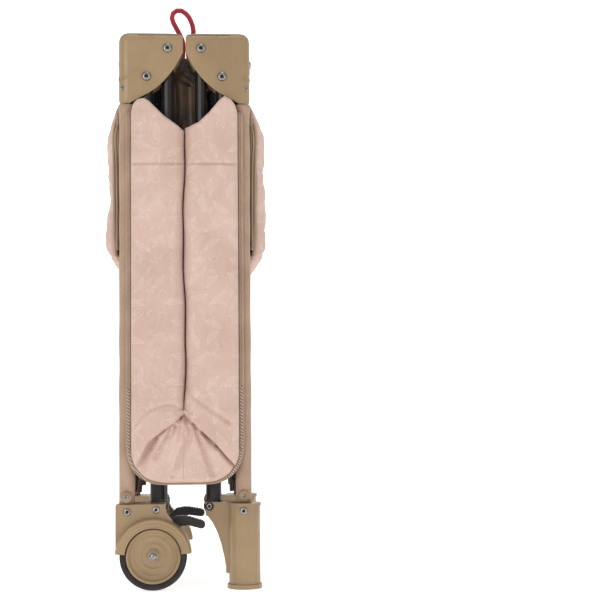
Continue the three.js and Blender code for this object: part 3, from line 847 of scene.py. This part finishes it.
# ---------------------------------------------------------------- posts
def sleeves():
    """Cloth sleeves on the posts: slightly loose, with a sewn seam down the inner side."""
    for corner, (x, y) in CORNERS.items():
        low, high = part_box("post_sleeve_" + corner)
        heights = np.linspace(low[2] - 0.0016, high[2] + 0.0042, 150)[:, None]
        angle = np.linspace(0, math.tau, 49)[None, :-1]
        ripple = waves(np.cos(angle) * 0.011 + 0 * heights, heights + 0 * angle, 0.03, 71, stretch=2.5)
        radius = 0.0112 + 0.00028 * ripple
        radius = radius + 0.0007 * groove(angle - 0.8, 0.06) + 0.0008 * groove(heights - high[2] + 0.004, 0.003)
        px = x * POST_AT + radius * np.cos(angle) * x
        py = y * POST_AT + radius * np.sin(angle) * y
        ring = np.stack(np.broadcast_arrays(px, py, heights), -1).reshape(-1, 3)
        inside = ring.copy()
        for k, centre in ((0, x * POST_AT), (1, y * POST_AT)):
            inside[:, k] = centre + (ring[:, k] - centre) * 0.88
        count = len(ring)
        faces = grid_faces(150, 48, wrap=True) + grid_faces(150, 48, count, flip=True, wrap=True)
        for row in (0, 149):
            for k in range(48):
                here, there = row * 48 + k, row * 48 + (k + 1) % 48
                faces.append((here, there, count + there, count + here))
        made = mesh_object("sleeve_" + corner, np.concatenate([ring, inside]), faces, SLEEVE)
        fix_normals(made)
        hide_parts("post_sleeve_" + corner)
        rides("post_" + corner, made)


# ---------------------------------------------------------------- wheels and brakes
def wheel(corner):
    """A tyre with rounded shoulders on a dished rim with concentric steps."""
    y = CORNERS[corner][1]
    at = (WHEEL[0], y * WHEEL[1], WHEEL[2])
    axis = (0, y, 0)
    half = 0.011
    tyre = [(0.0384, -half + 0.002), (0.0405, -half + 0.0004), (0.0435, -half), (0.0458, -half + 0.0012),
            (0.0468, -half + 0.0035), (0.0470, -half + 0.006), (0.0470, half - 0.006), (0.0468, half - 0.0035),
            (0.0458, half - 0.0012), (0.0435, half), (0.0405, half - 0.0004), (0.0384, half - 0.002)]
    made = lathe("tyre_tread_" + corner, tyre, at, axis, [RUBBER], 72, ring=True)
    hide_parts("tyre_" + corner)
    face = half - 0.0012
    rim = [(0.0045, -half + 0.001), (0.0379, -half + 0.002), (0.0381, face - 0.0006), (0.0374, face),
           (0.0350, face + 0.0003), (0.0341, face - 0.0004), (0.0334, face - 0.0032), (0.0326, face - 0.0042),
           (0.0282, face - 0.0046), (0.0274, face - 0.0040), (0.0268, face - 0.0040), (0.0262, face - 0.0048),
           (0.0182, face - 0.0052), (0.0176, face - 0.0046), (0.0170, face - 0.0046), (0.0165, face - 0.0054),
           (0.0100, face - 0.0056), (0.0092, face - 0.0036), (0.0078, face - 0.0028), (0.0068, face - 0.0030),
           (0.0045, face - 0.0034)]
    disc = lathe("wheel_rim_" + corner, rim, at, axis, [TAN], 72)
    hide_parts("wheel_hub_" + corner)
    rides("wheel_" + corner, made, disc)
    cap_at = (at[0], y * (WHEEL[1] + 0.0088), at[2])
    dome("axle_cap_" + corner, cap_at, axis, "post_" + corner, 0.0054, 0.0034)


def fender_rolls(corner):
    """Rounded beads that soften the fender's outer shoulder and the edge of its opening."""
    y = CORNERS[corner][1]
    for name, radius, out, bead in (("outer", 0.0494, 0.1060, 0.0031), ("inner", 0.0408, 0.1078, 0.0013)):
        turns = np.linspace(math.radians(5), math.radians(175), 64)
        route = [(WHEEL[0] + radius * math.cos(t), y * out, WHEEL[2] + radius * math.sin(t)) for t in turns]
        made = sweep(f"fender_roll_{name}_{corner}", route, bead, TAN, outward=(0, y, 0))
        fix_normals(made)
        rides("post_" + corner, made)


def pedal_ribs(corner, lift):
    """Raised grip ribs across the top of a brake pedal."""
    y = CORNERS[corner][1]
    pivot = Vector((-0.018, 0, 0.084))
    turn = Matrix.Rotation(-math.radians(lift), 3, "Y")
    for k in range(5):
        t = k / 4
        local = Vector((0.0245 + 0.0145 * t, 0, 0.0141 - 0.0046 * t))
        middle = pivot + turn @ local
        ends = [(middle.x, y * 0.0582, middle.z), (middle.x, y * 0.0694, middle.z)]
        route = [Vector(ends[0]).lerp(Vector(ends[1]), s / 6) for s in range(7)]
        made = sweep(f"pedal_rib_{k + 1}_{corner}", route, 0.00085, BLACK, outward=(0, 0, 1))
        rides("pedal_" + corner, made)


# ---------------------------------------------------------------- feet
def foot_fittings():
    """The rivet, the sleeve's end tab and its screw on each foot, and the floor tube's pivot rivets."""
    for corner, (x, y) in CORNERS.items():
        body = "post_" + corner
        front = 0.0984 if corner in WHEELED else 0.1048
        rivet("foot_rivet_" + corner, (x * 0.0812, y * front, 0.1090), (0, y, 0), body, 0.0052, 0.0026)
        if corner in WHEELED:
            rivet("block_rivet_" + corner, (x * 0.0411, y * front, 0.1115), (0, y, 0), body, 0.0052, 0.0026)
        tab = [(0.0001, -0.0040), (0.0070, -0.0040), (0.0082, -0.003), (0.0084, -0.001), (0.0080, 0.0008),
               (0.0066, 0.0018), (0.0001, 0.002)]
        at = (x * 0.0825, y * 0.0958, 0.1290)
        made = lathe("sleeve_tab_" + corner, tab, at, (0, y, 0), [TAN], 32)
        rides(body, made)
        screw("tab_screw_" + corner, (at[0], y * 0.0978, at[2]), (0, y, 0), body)
        screw("bracket_screw_" + corner, (x * 0.0885, y * (HALF - 0.0008), 0.708), (0, y, 0), body, 0.0028)
        reach = 0.0145
        out = (x * math.sin(SWING), -y * math.cos(SWING))
        for side in (-1, 1):
            turn = Vector((out[0] * side, out[1] * side, 0))
            pivot = Vector((x * FLOOR_PIVOT[0], y * FLOOR_PIVOT[1], FLOOR_PIVOT[2])) + turn * reach
            rivet(f"floor_rivet_{'in' if side > 0 else 'out'}_{corner}", pivot, turn,
                  "floor_tube_" + corner, 0.0052, 0.0024)


def pleats(name, centre, width, low, high, depth, seed, y, look, lean=0.0, folds=7.0):
    """A closed sheet gathered into upright folds, facing the front or the back."""
    rows, columns = 90, 130
    u, v = np.meshgrid(np.linspace(-1, 1, columns), np.linspace(0, 1, rows))
    gather = 1 - 0.12 * np.sin(math.pi * v) + 0.05 * waves(v, u * 0, 0.8, seed)
    px = centre + u * width / 2 * gather + lean * (v - 0.5)
    phase = u * folds + 1.6 * waves(v, u * 0.6, 1.2, seed + 2)
    ridge = 1 - np.abs(np.sin(phase)) ** 1.4
    swell = 0.5 + 0.5 * waves(u, v, 0.9, seed + 1, stretch=1.4)
    py = y * (depth[0] + (depth[1] - depth[0]) * np.clip(0.62 * ridge + 0.38 * swell, 0, 1))
    top = high - 0.007 * (0.5 + 0.5 * np.sin(u * 4 + seed))
    pz = low + (top - low) * v
    front = np.stack([px, py, pz], -1)
    back = front.copy()
    back[..., 1] -= y * 0.0009
    made = closed_pad(name, front, back, look)
    return made


def floor_cloth():
    """The lining bunched round the hub, and the loose folds that hang from it."""
    for side, y in (("front", -1), ("back", 1)):
        # The lining's folds take the satin whose dark colour is painted shade.
        high = pleats("hub_cloth_" + side, 0.0, 0.100, 0.7135, 0.766, (0.052, 0.064),
                      3 + y, y, SATIN_PAINTED_SHADE, folds=4.6)
        fall = pleats("hub_fall_" + side, 0.0, 0.052, 0.560, 0.724, (0.0592, 0.0690),
                      8 + y, y, SATIN_PAINTED_SHADE, folds=3.6)
        rides("floor_hub", high, fall)
    low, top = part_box("floor_fabric")
    rows, columns = 60, 64
    round_it = np.linspace(0, math.tau, columns, endpoint=False)
    v, angle = np.meshgrid(np.linspace(0, 1, rows), round_it, indexing="ij")
    radius = 0.65 + 0.3 * v**0.6 + 0.07 * np.sin(angle * 9 + 1.5 * waves(v, angle * 0, 0.7, 4))
    radius *= 1 - 0.92 * ease((0.05 - v) / 0.05)
    corners = (np.abs(np.cos(angle)) ** 4 + np.abs(np.sin(angle)) ** 4) ** -0.25
    px = 0.0225 * radius * corners * np.cos(angle)
    py = 0.0375 * radius * corners * np.sin(angle)
    pz = low[2] + (top[2] - low[2]) * v
    points = np.stack([px, py, pz], -1).reshape(-1, 3)
    faces = grid_faces(rows, columns, wrap=True)
    faces += [tuple(reversed(range(columns))), tuple(range((rows - 1) * columns, rows * columns))]
    # The bunched lining takes the satin whose dark colour is painted shade.
    made = mesh_object("floor_cloth", points, faces, SATIN_PAINTED_SHADE)
    fix_normals(made)
    rides("floor_hub", made)
    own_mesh(made)
    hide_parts("floor_fabric")


def post_flaps():
    """Small gathered ends of the lining between each post and its floor tube."""
    for corner, (x, y) in CORNERS.items():
        # The flaps take the satin whose dark colour is painted shade.
        made = pleats("lining_flap_" + corner, x * 0.066, 0.014, 0.134, 0.205, (0.066, 0.076),
                      20 + x + 2 * y, y, SATIN_PAINTED_SHADE, lean=-x * 0.006, folds=1.8)
        rides("post_" + corner, made)


LOOP = [(-4.2, 712.2), (-4.4, 728), (-4.4, 745), (-4, 762), (-3.2, 780), (-3, 796), (-8, 809), (-15, 822),
        (-19.5, 833), (-17, 842), (-8, 845.5), (2, 840), (9, 829), (12.5, 815), (11.5, 802), (8, 790),
        (5.6, 777), (4.8, 762), (4.4, 745), (4.4, 728), (4.2, 712.2)]


CORD_RADIUS = 0.0037


def pull_cord():
    """The red loop that lifts the hub."""
    route = spline([(x / 1000, 0, z / 1000) for x, z in LOOP], 40)
    data = bpy.data.curves.new("pull_cord", "CURVE")
    data.dimensions = "3D"
    data.bevel_depth = CORD_RADIUS
    data.bevel_resolution = 5
    data.use_fill_caps = True
    line = data.splines.new("POLY")
    line.points.add(len(route) - 1)
    for point, place in zip(line.points, route):
        point.co = (*place, 1)
    made = bpy.data.objects.new("pull_cord", data)
    bpy.context.scene.collection.objects.link(made)
    data.materials.append(BRAID)
    rides("floor_hub", made)
    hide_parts("pull_loop")


# ---------------------------------------------------------------- assembly
set_camera()
pull_cord()
set_stage()
dress_frame()
sleeves()
for each in CORNERS:
    long_column(each)
    short_column(each)
for each in WHEELED:
    wheel(each)
    fender_rolls(each)
    pedal_ribs(each, 0 if each == "front_left" else 8)
bracket_ridges()
rail_rivets()
foot_fittings()
floor_cloth()
post_flaps()
